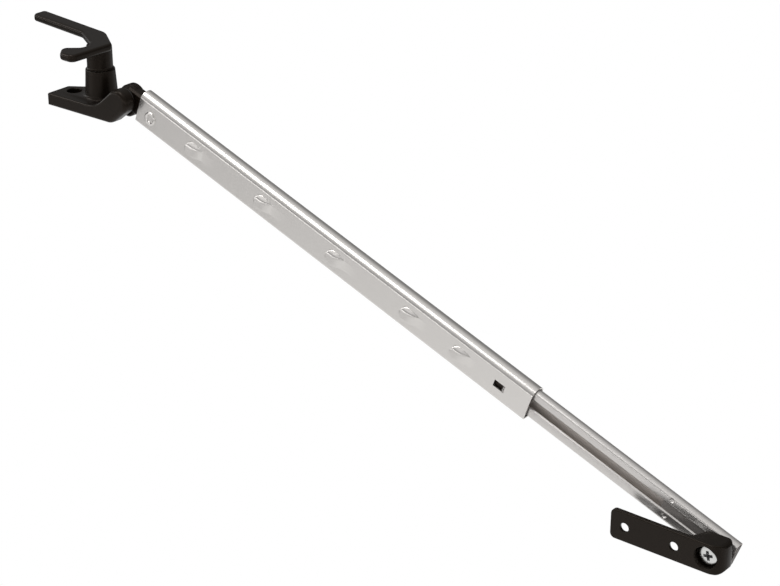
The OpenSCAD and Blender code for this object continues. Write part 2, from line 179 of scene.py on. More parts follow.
# %% [markdown]
# ## Floor
# The picture's ground is white paper, and the camera sees it as plain white. What metal mirrors
# is toned: the paper darkens away from the stay, more on some sides than on others, and turns
# bright far in front, where the lit room begins. The light it throws back on the stay is that of
# a pale matt surface. A Light Path node tells the three kinds of ray apart.

# %% Floor sheet
FLOOR_DEPTH, FLOOR_HALF = -0.62, 9.0
bm = bmesh.new()
bmesh.ops.create_grid(bm, x_segments=1, y_segments=1, size=FLOOR_HALF)
bmesh.ops.translate(bm, verts=bm.verts, vec=(0, 0, FLOOR_DEPTH))
paper_mesh = bpy.data.meshes.new("paper")
bm.to_mesh(paper_mesh)
bm.free()
paper = bpy.data.objects.new("paper", paper_mesh)
bpy.context.scene.collection.objects.link(paper)
paper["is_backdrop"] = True
print("floor at", FLOOR_DEPTH, "m")

# %% Mirrored tones of the floor
# A direction across the floor, and the greys along it: their product is what metal mirrors
MIRRORED_TONES = {
    "front left": ((-0.083, -0.145, 0.0), [
        (0.12, 1.0), (0.15, 0.95), (0.176, 0.85), (0.198, 0.79), (0.259, 0.63), (0.35, 0.58),
        (0.475, 0.68), (0.6, 0.9), (0.82, 3.2),
    ]),
    "front right": ((0.3, -0.3, 0.0), [(0.36, 1.0), (0.62, 0.5)]),
    "far left": ((-0.45, 0.25, 0.0), [(0.32, 1.0), (0.68, 0.2)]),
    "far right": ((0.4, 0.3, 0.0), [(0.66, 1.0), (0.78, 0.6)]),
}
paper_finish = bpy.data.materials.new("white_paper")
paper_tree = node_tree(paper_finish)
floor_spot = add_node(paper_tree, "ShaderNodeTexCoord")


def colour_mix(tree, kind, first):
    """A node that mixes a colour with white, or with what is linked to its socket B."""
    mix = add_node(tree, "ShaderNodeMix")
    mix.data_type, mix.blend_type = "RGBA", kind
    mix.inputs["Factor"].default_value = 1.0
    mix.inputs["B"].default_value = (1, 1, 1, 1)
    tree.links.new(first, mix.inputs["A"])
    return mix


mirrored = None
for towards, stops in MIRRORED_TONES.values():
    reach = add_node(paper_tree, "ShaderNodeVectorMath")
    reach.operation = "DOT_PRODUCT"
    reach.inputs[1].default_value = towards
    paper_tree.links.new(floor_spot.outputs["Object"], reach.inputs[0])
    tone = tone_ramp(paper_tree, stops)
    paper_tree.links.new(reach.outputs["Value"], tone.inputs["Fac"])
    if mirrored is None:
        mirrored = tone.outputs["Color"]
        continue
    product = colour_mix(paper_tree, "MULTIPLY", mirrored)
    paper_tree.links.new(tone.outputs["Color"], product.inputs["B"])
    mirrored = product.outputs["Result"]
print("mirrored tones towards", ", ".join(MIRRORED_TONES))

# %% What each kind of ray sees
rays = add_node(paper_tree, "ShaderNodeLightPath")
shown = colour_mix(paper_tree, "MIX", mirrored)
matt = add_node(paper_tree, "ShaderNodeBsdfDiffuse", Color=(0.8, 0.8, 0.8, 1))
glow = add_node(paper_tree, "ShaderNodeEmission", Strength=1.0)
either_surface = add_node(paper_tree, "ShaderNodeMixShader")
paper_out = add_node(paper_tree, "ShaderNodeOutputMaterial")
seen = rays.outputs["Is Camera Ray"]
for kind in ("Is Glossy Ray", "Is Transmission Ray"):
    either_ray = add_node(paper_tree, "ShaderNodeMath")
    either_ray.operation = "MAXIMUM"
    paper_tree.links.new(seen, either_ray.inputs[0])
    paper_tree.links.new(rays.outputs[kind], either_ray.inputs[1])
    seen = either_ray.outputs[0]
paper_tree.links.new(rays.outputs["Is Camera Ray"], shown.inputs["Factor"])
paper_tree.links.new(shown.outputs["Result"], glow.inputs["Color"])
paper_tree.links.new(seen, either_surface.inputs["Fac"])
paper_tree.links.new(matt.outputs[0], either_surface.inputs[1])
paper_tree.links.new(glow.outputs[0], either_surface.inputs[2])
paper_tree.links.new(either_surface.outputs[0], paper_out.inputs["Surface"])
paper_mesh.materials.append(paper_finish)
print("floor finish", paper_finish.name)

# %% [markdown]
# ## Finishes
# Eight finishes cover the stay: black moulded plastic with a fine spark-eroded grain, satin
# anodised sheet for the sleeve and a rougher one for the channel, whose darker colour is painted
# shade, the channel's raw inside, a dull insert, bright zinc plate, plain steel, which also paints
# shade into the screw's cross recess, and dark nylon. Each one reads Object coordinates, so the
# grain has a real size in millimetres and stays on the piece when it moves.

# %% Finish helper
def finish(name, colour, metallic, roughness, spread, grain, bump, stretch=(1, 1, 1), turn=0.0,
           shade=0.06, gloss=0.5, sheen=(1, 1, 1)):
    """A surface whose tone and roughness vary with a fine grain.

    grain is the grain's size in millimetres, spread the change of roughness, shade the change of
    tone, sheen the tint of what it mirrors, and stretch pulls the grain out along the piece's own
    axes after it is turned about Y.
    """
    material = bpy.data.materials.new(name)
    tree = node_tree(material)
    where = add_node(tree, "ShaderNodeTexCoord")
    turned = add_node(tree, "ShaderNodeMapping")
    turned.vector_type = "TEXTURE"
    turned.inputs["Rotation"].default_value = (0, turn, 0)
    turned.inputs["Scale"].default_value = [s * grain * MM for s in stretch]
    noise = add_node(tree, "ShaderNodeTexNoise", Scale=1.0, Detail=3.0, Roughness=0.6)
    tone = add_node(tree, "ShaderNodeMapRange", To_Min=1 - shade, To_Max=1 + shade)
    tint = add_node(tree, "ShaderNodeMix")
    tint.data_type = "RGBA"
    tint.blend_type = "MULTIPLY"
    tint.inputs["Factor"].default_value = 1.0
    tint.inputs["A"].default_value = (*colour, 1)
    rough = add_node(tree, "ShaderNodeMapRange",
                     To_Min=roughness - spread, To_Max=roughness + spread)
    dents = add_node(tree, "ShaderNodeBump", Strength=bump, Distance=0.05 * MM)
    surface = add_node(tree, "ShaderNodeBsdfPrincipled", Metallic=metallic,
                       Specular_IOR_Level=gloss, Specular_Tint=(*sheen, 1))
    end = add_node(tree, "ShaderNodeOutputMaterial")
    tree.links.new(where.outputs["Object"], turned.inputs["Vector"])
    tree.links.new(turned.outputs["Vector"], noise.inputs["Vector"])
    tree.links.new(noise.outputs["Fac"], tone.inputs["Value"])
    tree.links.new(noise.outputs["Fac"], rough.inputs["Value"])
    tree.links.new(noise.outputs["Fac"], dents.inputs["Height"])
    tree.links.new(tone.outputs["Result"], tint.inputs["B"])
    tree.links.new(tint.outputs["Result"], surface.inputs["Base Color"])
    tree.links.new(rough.outputs["Result"], surface.inputs["Roughness"])
    tree.links.new(dents.outputs["Normal"], surface.inputs["Normal"])
    tree.links.new(surface.outputs["BSDF"], end.inputs["Surface"])
    print("finish", name)
    return material


# %% The eight finishes
ARM_DROOP = math.radians(20.3)
SATIN = {"spread": 0.03, "grain": 0.12, "bump": 0.02, "stretch": (90, 1, 1), "turn": ARM_DROOP,
         "shade": 0.015}
black = finish("black_moulding", (0.0078, 0.0055, 0.0038), metallic=0.0, roughness=0.30,
               spread=0.05, grain=0.35, bump=0.10, shade=0.12, gloss=0.18,
               sheen=(1.0, 0.85, 0.74))
silver = finish("satin_anodised", (0.680, 0.656, 0.633), metallic=0.88, roughness=0.26, **SATIN)
# Painted shade: the channel is the sleeve's kind of anodised sheet, coloured darker to stand in for
# the dimmer light on it
shaded_inner_silver = finish("satin_anodised_inner_painted_shade", (0.63, 0.607, 0.587), metallic=0.80,
                      roughness=0.32, **SATIN)
raw_inside = finish("raw_inside", (0.62, 0.575, 0.54), metallic=0.0, roughness=0.60, spread=0.04,
                    grain=0.3, bump=0.03, stretch=(60, 1, 1), turn=ARM_DROOP, shade=0.04,
                    gloss=0.3)
dull_insert = finish("dull_insert", (0.20, 0.185, 0.175), metallic=0.0, roughness=0.60,
                     spread=0.04, grain=0.4, bump=0.05, shade=0.05, gloss=0.3)
zinc = finish("bright_zinc", (0.66, 0.66, 0.645), metallic=1.0, roughness=0.24, spread=0.05,
              grain=0.6, bump=0.05, shade=0.04)
# Plain steel for the steel pieces; it also serves as painted shade on the walls of the screw's
# cross recess
steel_and_recess_shade = finish("plain_steel_and_recess_shade", (0.30, 0.30, 0.30), metallic=0.9, roughness=0.40, spread=0.06,
               grain=0.4, bump=0.10, shade=0.06)
nylon = finish("grey_nylon", (0.035, 0.032, 0.030), metallic=0.0, roughness=0.48, spread=0.05,
               grain=0.5, bump=0.12, shade=0.05)

# %% [markdown]
# ## Tools for moulded pieces
# A moulded piece has no sharp edge. A Bevel modifier can round one afterwards, but it stumbles
# where several solids meet, so most solids are made round from the start: a slab whose rim is a
# stack of slightly drawn-in loops, and a lathe for everything turned. Booleans then join them.
# All drawings are in millimetres.

# %% Outline and slab
def outline(corners, inset=0.0, step=7.0):
    """Points of a closed anticlockwise outline, from corners of (x, y, radius), drawn in evenly."""
    points = []
    count = len(corners)
    for i, (x, y, r) in enumerate(corners):
        here = Vector((x, y))
        before = (here - Vector(corners[i - 1][:2])).normalized()
        after = (Vector(corners[(i + 1) % count][:2]) - here).normalized()
        n1, n2 = Vector((-before.y, before.x)), Vector((-after.y, after.x))
        corner = here + (n1 + n2) * (inset / (1 + n1.dot(n2)))
        if r == 0:
            points.append(corner)
            continue
        turn = math.atan2(before.x * after.y - before.y * after.x, before.dot(after))
        radius = max(r - inset, 0.0) if turn > 0 else r + inset
        side = math.copysign(1.0, turn)
        centre = corner + (n1 + n2) * (side * radius / (1 + n1.dot(n2)))
        steps = max(2, math.ceil(abs(math.degrees(turn)) / step))
        for k in range(steps + 1):
            spoke = Matrix.Rotation(turn * k / steps, 2) @ n1
            points.append(centre - spoke * (side * radius))
    return points


def bridge(bm, low, high):
    """Quads between two loops of vertices of one length."""
    count = len(low)
    for i in range(count):
        j = (i + 1) % count
        bm.faces.new((low[i], low[j], high[j], high[i]))


def slab(corners, low, high, low_round, high_round, place, arc=5, rest=0.3, swell=None):
    """A plate of an outline between two heights, with rounded rims, as a new bmesh.

    swell gives, for a point of the outline, how many times wider the upper rim is there.
    """
    rings = [(low_round + rest, low)]
    for k in range(arc + 1):
        a = math.pi / 2 * k / arc
        rings.append((low_round * (1 - math.sin(a)), low + low_round * (1 - math.cos(a))))
    for k in range(arc, -1, -1):
        a = math.pi / 2 * k / arc
        rings.append((high_round * (1 - math.sin(a)), high - high_round * (1 - math.cos(a))))
    rings.append((high_round + rest, high))
    bm = bmesh.new()
    # A hundredth of a millimetre shows which way each point goes when the outline is drawn in
    plain, nudged = outline(corners), outline(corners, 0.01)
    wider = [swell(p) - 1.0 if swell else 0.0 for p in plain]
    loops = []
    for k, (inset, z) in enumerate(rings):
        loop = []
        for p, a, b, w in zip(outline(corners, inset), plain, nudged, wider):
            upper = w if k > arc + 1 else 0.0
            p = p + (b - a) * (100 * inset * upper)
            loop.append(bm.verts.new((p.x, p.y, z - (high - z) * upper)))
        loops.append(loop)
    for a, b in zip(loops, loops[1:]):
        bridge(bm, a, b)
    bm.faces.new(reversed(loops[0]))
    bm.faces.new(loops[-1])
    bmesh.ops.remove_doubles(bm, verts=bm.verts, dist=1e-4)
    bmesh.ops.transform(bm, matrix=place, verts=bm.verts)
    return bm


# %% Lathe
def lathe(profile, place, segments=72):
    """A turned solid from points of (radius, height), from one end of its axis to the other."""
    bm = bmesh.new()
    rings = []
    for r, z in profile:
        if r == 0:
            rings.append([bm.verts.new((0, 0, z))])
            continue
        rings.append([
            bm.verts.new((r * math.cos(a), r * math.sin(a), z))
            for a in (2 * math.pi * k / segments for k in range(segments))
        ])
    for a, b in zip(rings, rings[1:]):
        if len(a) == 1:
            for i in range(segments):
                bm.faces.new((a[0], b[(i + 1) % segments], b[i]))
        elif len(b) == 1:
            for i in range(segments):
                bm.faces.new((a[i], a[(i + 1) % segments], b[0]))
        else:
            bridge(bm, a, b)
    bmesh.ops.recalc_face_normals(bm, faces=bm.faces)
    bmesh.ops.transform(bm, matrix=place, verts=bm.verts)
    return bm


def rod(radius, low, high):
    """The profile of a plain cylinder between two heights."""
    return [(0, low), (radius, low), (radius, high), (0, high)]


def arc_points(centre, radius, start, end, count=6):
    """Points on an arc, with its angles in degrees."""
    steps = [math.radians(start + (end - start) * k / count) for k in range(count + 1)]
    return [(centre[0] + radius * math.cos(a), centre[1] + radius * math.sin(a)) for a in steps]


# %% Making objects and booleans
def new_object(name, bm, finish_material):
    """An object at the origin from a bmesh in millimetres."""
    bmesh.ops.scale(bm, vec=(MM, MM, MM), verts=bm.verts)
    mesh = bpy.data.meshes.new(name)
    bm.to_mesh(mesh)
    bm.free()
    mesh.materials.append(finish_material)
    obj = bpy.data.objects.new(name, mesh)
    bpy.context.scene.collection.objects.link(obj)
    return obj


def settle(obj):
    """Turns an object's live modifiers into its plain mesh."""
    shown = obj.evaluated_get(bpy.context.evaluated_depsgraph_get())
    mesh = bpy.data.meshes.new_from_object(shown)
    obj.modifiers.clear()
    old, obj.data = obj.data, mesh
    mesh.name = obj.name
    bpy.data.meshes.remove(old)
    return obj


def carve(obj, solids, operation):
    """Joins solids to an object, cuts them out of it or keeps what they share with it."""
    for bm in solids:
        tool = new_object("tool", bm, obj.data.materials[0])
        change = obj.modifiers.new("carve", "BOOLEAN")
        change.operation, change.solver, change.object = operation, "EXACT", tool
        settle(obj)
        bpy.data.objects.remove(tool)


# %% Shading and handing over
CREASE = 32.0
WELD = 0.002 * MM


def soften(obj):
    """Smooth shading that keeps sharp creases and lets flat faces stay flat."""
    bm = bmesh.new()
    bm.from_mesh(obj.data)
    bmesh.ops.remove_doubles(bm, verts=bm.verts, dist=WELD)
    bmesh.ops.dissolve_degenerate(bm, edges=bm.edges, dist=WELD)
    bm.to_mesh(obj.data)
    bm.free()
    obj.data.shade_smooth()
    obj.data.set_sharp_from_angle(angle=math.radians(CREASE))
    even = obj.modifiers.new("even_normals", "WEIGHTED_NORMAL")
    even.keep_sharp = True
    even.weight = 80
    return settle(obj)


def dress(obj, body, slot, *nodes):
    """Hands a finished piece to the frame in place of its solid."""
    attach(obj, body)
    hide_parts(*nodes)
    print(obj.name, len(obj.data.polygons), "faces on", body)


# Drawings of X and Z, looking from the front, become slabs along Y with this turn
FROM_FRONT = Matrix(((1, 0, 0, 0), (0, 0, -1, 0), (0, 1, 0, 0), (0, 0, 0, 1)))
UPRIGHT = Matrix.Identity(4)

# %% [markdown]
# ## Base
# The base is one black moulding: a plate, a front wall that swells up into the ear of the
# knuckle, and a round pedestal on a hollow foot curve. The front rim is the most rounded edge and
# catches the light in one line from the plate's end to the ear.

# %% Plate and front wall
PLATE_T, PLATE_LEFT, PLATE_FRONT, PLATE_BACK = 8.2, 31.7, 18.8, 14.6
PLATE_RIGHT, PLATE_INTO_WALL = 17.5, -13.5
KNUCKLE, EAR_R, EAR_BACK, EAR_FOOT = Vector((32.8, 16.0)), 8.3, 10.4, 26.8
WALL_BACK_RIM, FRONT_RIM = 0.9, 1.2
EAR_RISE = math.radians(43)
ear_mid = KNUCKLE - Vector((0.2, 0.9))
ear_top = ear_mid + EAR_R * Vector((-math.sin(EAR_RISE), math.cos(EAR_RISE)))
rise_x = ear_top.x - (ear_top.y - PLATE_T) / math.tan(EAR_RISE)
wall = (
    [(-PLATE_LEFT, 0, 0.4), (EAR_FOOT, 0, 8.5)]
    + [(x, z, 0) for x, z in arc_points(ear_mid, EAR_R, -46, 133, 34)]
    + [(rise_x, PLATE_T, 20.0), (-PLATE_LEFT, PLATE_T, 1.0)]
)
plate = [
    (-PLATE_LEFT, PLATE_INTO_WALL, 0.3), (PLATE_RIGHT, PLATE_INTO_WALL, 0.3),
    (PLATE_RIGHT, 4, 3.0), (10, PLATE_BACK, 4.0), (-10, PLATE_BACK, 6.0),
    (-PLATE_LEFT, -0.2, 2.5),
]


def ear_swell(point):
    """The front rim is wider around the ear than along the plate."""
    return 1.0 + 1.3 * min(max((point.x - 22.0) / 8.0, 0.0), 1.0)


base = new_object("base_moulding", slab(plate, 0, PLATE_T, 0.4, 1.0, UPRIGHT), black)
carve(base, [
    slab(wall, EAR_BACK, PLATE_FRONT, WALL_BACK_RIM, FRONT_RIM, FROM_FRONT, arc=7,
         swell=ear_swell),
], "UNION")
print("plate and wall", len(base.data.polygons), "faces")

# %% Pedestal
FOOT_R, RIM_R, RIM_Z, FOOT_CURVE = 10.6, 9.6, 27.0, 2.4
pedestal = (
    [(0, 2.0), (FOOT_R + FOOT_CURVE, 2.0)]
    + arc_points((FOOT_R + FOOT_CURVE, PLATE_T - 0.05 + FOOT_CURVE), FOOT_CURVE, 270, 180, 8)
    + [(RIM_R + 0.03, RIM_Z - 0.8)]
    + arc_points((RIM_R - 0.5, RIM_Z - 0.5), 0.5, 0, 90, 4)
    + [(0, RIM_Z)]
)
carve(base, [lathe(pedestal, UPRIGHT, 96)], "UNION")
print("with the pedestal", len(base.data.polygons), "faces")

# %% Holes of the base
POCKET_R, POCKET_TOP, BORE_R, SPRING_R, SPRING_SEAT = 7.6, 5.2, 5.55, 8.0, 26.2
spindle_bore = [
    (0, -1), (POCKET_R, -1), (POCKET_R, POCKET_TOP), (BORE_R, POCKET_TOP), (BORE_R, SPRING_SEAT),
    (SPRING_R, SPRING_SEAT), (SPRING_R, RIM_Z + 1), (0, RIM_Z + 1),
]
FIXING_R, SINK_R, SINK_LIP = 2.3, 4.9, 0.55
FIXING_AT = Matrix.Translation((-21.3, -4.2, 0))
screw_sink = (
    [(0, -1), (FIXING_R, -1), (FIXING_R, PLATE_T - 5.0), (4.7, PLATE_T - 4.6),
     (SINK_R, PLATE_T - 0.6)]
    + arc_points((5.5, PLATE_T - SINK_LIP), SINK_LIP, 180, 90, 4)
    + [(5.5, PLATE_T + 1), (0, PLATE_T + 1)]
)
KNUCKLE_AT = Matrix.Translation((KNUCKLE.x, 0, KNUCKLE.y))
carve(base, [
    lathe(spindle_bore, UPRIGHT),
    lathe(screw_sink, FIXING_AT),
    lathe(rod(2.5, 9.0, 14.4), KNUCKLE_AT @ FROM_FRONT, 40),
], "DIFFERENCE")
dress(soften(base), "base", "black", "base")

# %% [markdown]
# ## Catch handle
# The handle is a flat hook on a round neck: a long finger to turn it by and a short tongue that
# slides behind a keeper. One outline with generous corners gives both, and the neck is turned
# with a small collar that rides on the pedestal's rim.

# %% Catch handle
HANDLE_LOW, HANDLE_HIGH, LOW_RIM, HIGH_RIM = 40.4, 45.4, 1.7, 1.9
hook = [
    (-77.4, 25.0, 2.9), (-10, 16.4, 14.0), (11.1, 1.4, 4.5), (10.4, -33.3, 4.6),
    (-0.8, -33.3, 5.6), (-8.8, -24.3, 4.4), (0.8, -16.4, 4.0), (1.2, -11.0, 4.6),
    (-3.7, -4.5, 5.0), (-22.8, 6.8, 6.0), (-77.6, 13.6, 3.8),
][::-1]
SPINDLE_R, SPINDLE_LOW, NECK_R, NECK_TOP = 5.5, 4.9, 8.4, 42.6
COLLAR_R, COLLAR_Z, COLLAR_RIM = 8.85, 27.25, 0.25
neck = (
    [(0, SPINDLE_LOW), (SPINDLE_R, SPINDLE_LOW), (SPINDLE_R, COLLAR_Z),
     (COLLAR_R - COLLAR_RIM, COLLAR_Z)]
    + arc_points((COLLAR_R - COLLAR_RIM, COLLAR_Z + COLLAR_RIM), COLLAR_RIM, -90, 0, 3)
    + [(COLLAR_R - 0.1, COLLAR_Z + 0.55), (NECK_R + 0.1, COLLAR_Z + 0.95)]
    + [(NECK_R, COLLAR_Z + 1.5), (NECK_R, 40.6), (NECK_R - 0.4, NECK_TOP), (0, NECK_TOP)]
)
handle_plate = slab(hook, HANDLE_LOW, HANDLE_HIGH, LOW_RIM, HIGH_RIM, UPRIGHT)
handle = new_object("catch_handle_moulding", handle_plate, black)
carve(handle, [lathe(neck, UPRIGHT, 96)], "UNION")
carve(handle, [lathe(rod(2.2, 4, 20.9), UPRIGHT, 40)], "DIFFERENCE")
dress(soften(handle), "handle", "black", "catch_handle")

# %% [markdown]
# ## Arm plug
# The plug closes the arm's upper end. Its barrel turns behind the ear and has grip grooves around
# its far half, and a round heel hangs below it. The neck is a block whose upper front edge is cut
# away at a slant, and a tenon fills the sleeve. The arm has a frame of its own: along it, across
# it, and the same depth.

# %% Barrel of the arm plug
ARM = KNUCKLE_AT @ Matrix.Rotation(ARM_DROOP, 4, "Y")
ARM_Y = -3.44
BARREL_R, BOSS_R, BARREL_FRONT, BARREL_BACK, BOSS_RIM = 9.5, 7.2, -9.9, 0.4, 0.8
BARREL_AT = ARM @ Matrix.Translation((-0.3, 0, -2.0)) @ FROM_FRONT
GROOVE = [(0.0, -0.55), (0.35, -0.4), (0.6, -0.1), (0.6, 0.1), (0.35, 0.4), (0.0, 0.55)]
GROOVES_Y = (-0.7, -2.4, -4.1)
grooves = [(BARREL_R - deep, -y + along) for y in GROOVES_Y for deep, along in GROOVE]
barrel = (
    [(0, -BARREL_BACK), (BARREL_R - 0.6, -BARREL_BACK), (BARREL_R, -BARREL_BACK + 0.5)]
    + grooves
    + [(BARREL_R, 5.2), (BARREL_R - 0.5, 5.7), (BOSS_R + 0.4, 5.9), (BOSS_R, 6.3)]
    + arc_points((BOSS_R - BOSS_RIM, -BARREL_FRONT - BOSS_RIM), BOSS_RIM, 0, 90, 4)
    + [(0, -BARREL_FRONT)]
)
plug = new_object("arm_plug_moulding", lathe(barrel, BARREL_AT, 96), black)
print("barrel", len(plug.data.polygons), "faces")

# %% Heel, neck and tenon of the arm plug
# A section of Y and Z becomes a slab along the arm with this turn
ALONG_ARM = Matrix(((0, 0, 1, 0), (1, 0, 0, 0), (0, 1, 0, 0), (0, 0, 0, 1)))
HEEL_AT = ARM @ Matrix.Translation((0.0, 0, -6.2)) @ FROM_FRONT
RIVET_AT = ARM @ Matrix.Translation((21.9, 0, -2.1)) @ FROM_FRONT
PIN_R, RIVET_R = 2.55, 2.4
heel = [(0, 0.6), (6.6, 0.6), (7.4, 1.4), (7.4, 7.0), (6.6, 7.8), (0, 7.8)]
neck_section = [
    (-8.04, -7.4, 0.8), (0.56, -7.4, 0.6), (0.56, 6.9, 1.6), (-6.5, 6.9, 0.3), (-8.04, 5.6, 0.3),
]
tenon_side = [(10.1, -9.9, 0.3), (34.5, -9.9, 0.5), (34.5, 9.9, 0.5), (10.1, 9.9, 0.3)]
carve(plug, [
    lathe(heel, HEEL_AT, 72),
    slab(neck_section, -2.0, 11.2, 0.3, 0.3, ARM @ ALONG_ARM, arc=2),
    slab(tenon_side, -1.1, 7.9, 2.2, 2.2, ARM @ FROM_FRONT, arc=4),
], "UNION")
carve(plug, [
    lathe(rod(PIN_R, -2, 12), ARM @ FROM_FRONT, 40),
    lathe(rod(RIVET_R, -4, 12), RIVET_AT, 40),
], "DIFFERENCE")
dress(soften(plug), "arm", "black", "arm_plug")

# %% [markdown]
# ## Outer sleeve
# The sleeve is thin sheet folded into a tube with a domed top. Its front face has five scoops: the
# sheet is sheared along one edge and pressed outwards, so that each scoop is open towards the base
# and fades into the face on the other side. A fine grid of the sheet's outer skin is laid out in
# numpy, pressed by a height rule and split along the sheared edges, and Solidify makes it sheet.

# %% Sections of the rails
def domed_section(depth, top_r, mid, bottom, corner_r, bend, front):
    """Points of (y, height) around a rail, from its front bend over the dome and back.

    bend rounds the crease between the flat sides and the dome; front lists the heights of points
    down the flat front.
    """
    half = depth / 2
    bend_y = half - bend
    bend_z = mid + math.sqrt((top_r - bend) ** 2 - bend_y ** 2)
    meet = math.degrees(math.atan2(bend_z - mid, bend_y))
    dome = (
        arc_points((-bend_y, bend_z), bend, 180, 180 - meet, 6)[:-1]
        + arc_points((0, mid), top_r, 180 - meet, meet, 24)
        + arc_points((bend_y, bend_z), bend, meet, 0, 6)[1:]
    )
    back = [(half, z) for z in np.linspace(bend_z, bottom + corner_r, 6)[1:-1]]
    low = (
        arc_points((half - corner_r, bottom + corner_r), corner_r, 0, -90, 6)
        + arc_points((-half + corner_r, bottom + corner_r), corner_r, -90, -180, 8)
    )
    flat = [z for z in front if bottom + corner_r < z - 0.05 and z + 0.05 < bend_z]
    return dome + back + low + [(-half, z) for z in flat]


SLEEVE_D, SLEEVE_H, SLEEVE_WALL, SLEEVE_CORNER = 11.0, 21.8, 0.8, 1.5
DOME_R, DOME_Z, SLEEVE_BEND = 6.0, 4.9, 2.3
SLEEVE_START, SLEEVE_END = 10.5, 337.2
SCOOP_N, SCOOP_R, SCOOP_LEN, SCOOP_RISE = -0.6, 4.5, 13.6, 2.1
WINDOW = (311.5, 318.6, -3.7, 0.8)
finer = np.arange(1.6, 4.2, 0.15)
front_rows = sorted({
    *np.round(np.arange(-9.0, 6.6, 0.5), 3), SCOOP_N - SCOOP_R, SCOOP_N + SCOOP_R, *WINDOW[2:],
    *np.round(SCOOP_N + finer, 3), *np.round(SCOOP_N - finer, 3),
})
front_rows = [n for i, n in enumerate(front_rows) if i == 0 or n - front_rows[i - 1] > 0.04]
sleeve_section = domed_section(SLEEVE_D, DOME_R, DOME_Z, -SLEEVE_H / 2, SLEEVE_CORNER,
                               SLEEVE_BEND, front_rows)
print("sleeve section of", len(sleeve_section), "points")

# %% Scoops of the sleeve
SCOOPS = [55.2 + 61.0 * k for k in (0, 1, 2, 3, 3.66)]
NARROWS_FROM, NARROWS_OVER, FALLS_FROM = 7.0, 9.0, 4.5
UPPER_SLOPE, LOWER_SLOPE, TIGHTNESS = 0.97, 4.0, 7
ROLL_DEPTH, ROLL_REACH = 0.4, 0.8


def sheared_edge(n):
    """How far from a scoop's start its round sheared edge lies, at a height on the face."""
    side = min(abs(n - SCOOP_N) / SCOOP_R, 1.0)
    return SCOOP_R * (1 - math.sqrt(1 - side * side))


def scoop_height(x, n):
    """How far the sheet stands out, at a distance from the scoop's start and a height."""
    narrowing = min(max((x - NARROWS_FROM) / NARROWS_OVER, 0.0), 1.0)
    reach = SCOOP_R * math.sqrt(1 - narrowing ** 2)
    above, below = reach - (n - SCOOP_N), reach + (n - SCOOP_N)
    if min(above, below) <= 0.01 or not 0 <= x < SCOOP_LEN:
        return 0.0
    fall = min(max((x - FALLS_FROM) / (SCOOP_LEN - FALLS_FROM), 0.0), 1.0)
    crest = (SCOOP_RISE + 0.06 * above) * (1 - fall ** 2) + 0.001
    # The lowest of three surfaces, with the creases between them rounded
    limits = (UPPER_SLOPE * above, LOWER_SLOPE * below, crest)
    height = sum(limit ** -TIGHTNESS for limit in limits) ** (-1 / TIGHTNESS)
    rolled = ROLL_DEPTH * max(0.0, 1 - (x - sheared_edge(n)) / ROLL_REACH) ** 2
    return max(height - rolled, 0.6 * height)


# %% Columns of the sleeve
# Each column is a place along the sleeve, or a scoop's start and a share of the scoop's length
PLAIN_COLUMNS = (SLEEVE_START, 20, 30, 40, 48, *WINDOW[:2], 328, SLEEVE_END)
SCOOP_SHARES = np.linspace(0, 1, 36) ** 1.15
LAST_CLEAR = SLEEVE_END - 30
columns = [(s, None, 0.0) for s in PLAIN_COLUMNS]
for start, following in zip(SCOOPS, SCOOPS[1:] + [LAST_CLEAR]):
    columns += [(start, start, u) for u in SCOOP_SHARES]
    clear = following - start - SCOOP_LEN
    columns += [(start + SCOOP_LEN + clear * f, None, 0.0) for f in (0.25, 0.5, 0.75)]
columns.sort(key=lambda c: (c[0], c[2]))
print("sleeve columns", len(columns))

# %% Sleeve mesh
def sleeve_skin():
    """The sleeve's outer skin, pressed, split at the sheared edges and opened at the window."""
    bm = bmesh.new()
    count = len(sleeve_section)
    face = -SLEEVE_D / 2 + 1e-6
    rows = []
    for s, start, u in columns:
        flat, pressed = [], []
        for y, n in sleeve_section:
            edge = sheared_edge(n) if y < face else SCOOP_R
            along = s if start is None else start + edge + u * (SCOOP_LEN - edge)
            out = scoop_height(along - start, n) if start is not None and y < face else 0.0
            pressed.append(bm.verts.new(ARM @ Vector((along, ARM_Y + y - out, n))))
            sheared = out > 0.02 and u == 0
            unpressed = Vector((along, ARM_Y + y, n))
            flat.append(bm.verts.new(ARM @ unpressed) if sheared else pressed[-1])
        rows.append((s, flat, pressed))
    for (s0, _, left), (_, right, _) in zip(rows, rows[1:]):
        for i in range(count):
            j = (i + 1) % count
            n = (sleeve_section[i][1] + sleeve_section[j][1]) / 2
            on_front = max(sleeve_section[i][0], sleeve_section[j][0]) < face
            if on_front and s0 == WINDOW[0] and WINDOW[2] < n < WINDOW[3]:
                continue
            bm.faces.new((left[i], left[j], right[j], right[i]))
    bmesh.ops.recalc_face_normals(bm, faces=bm.faces)
    return bm


sleeve = new_object("outer_sleeve_sheet", sleeve_skin(), silver)
sheet = sleeve.modifiers.new("sheet", "SOLIDIFY")
sheet.thickness = SLEEVE_WALL * MM
sheet.offset = -1
settle(sleeve)
sleeve.data.shade_smooth()
sleeve.data.set_sharp_from_angle(angle=math.radians(30))
dress(sleeve, "arm", "silver", "outer_sleeve")

# %% [markdown]
# ## Window tab
# The small window near the mouth was punched with one side left on, and that side was bent inwards
# as a tab. It is a slab with a bent outline, drawn looking down on the arm.

# %% Window tab
# Drawings of depth and length, looking down on the arm, with the two axes changed over
FACE_PLAN = Matrix(((0, 1, 0, 0), (1, 0, 0, 0), (0, 0, 1, 0), (0, 0, 0, 1)))
TAB_LOW, TAB_HIGH, TAB_RIM = -3.4, 0.4, 0.15
tab = [
    (-8.94, 319.2, 0), (-8.3, 319.2, 0), (-6.9, 317.4, 0.5), (-7.3, 317.0, 0.2),
    (-8.94, 318.4, 0.8),
]
tab_slab = slab(tab, TAB_LOW, TAB_HIGH, TAB_RIM, TAB_RIM, ARM @ FACE_PLAN, arc=2)
window_tab = new_object("sleeve_window_tab", tab_slab, silver)
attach(window_tab, "arm")
print(window_tab.name, len(window_tab.data.polygons), "faces")

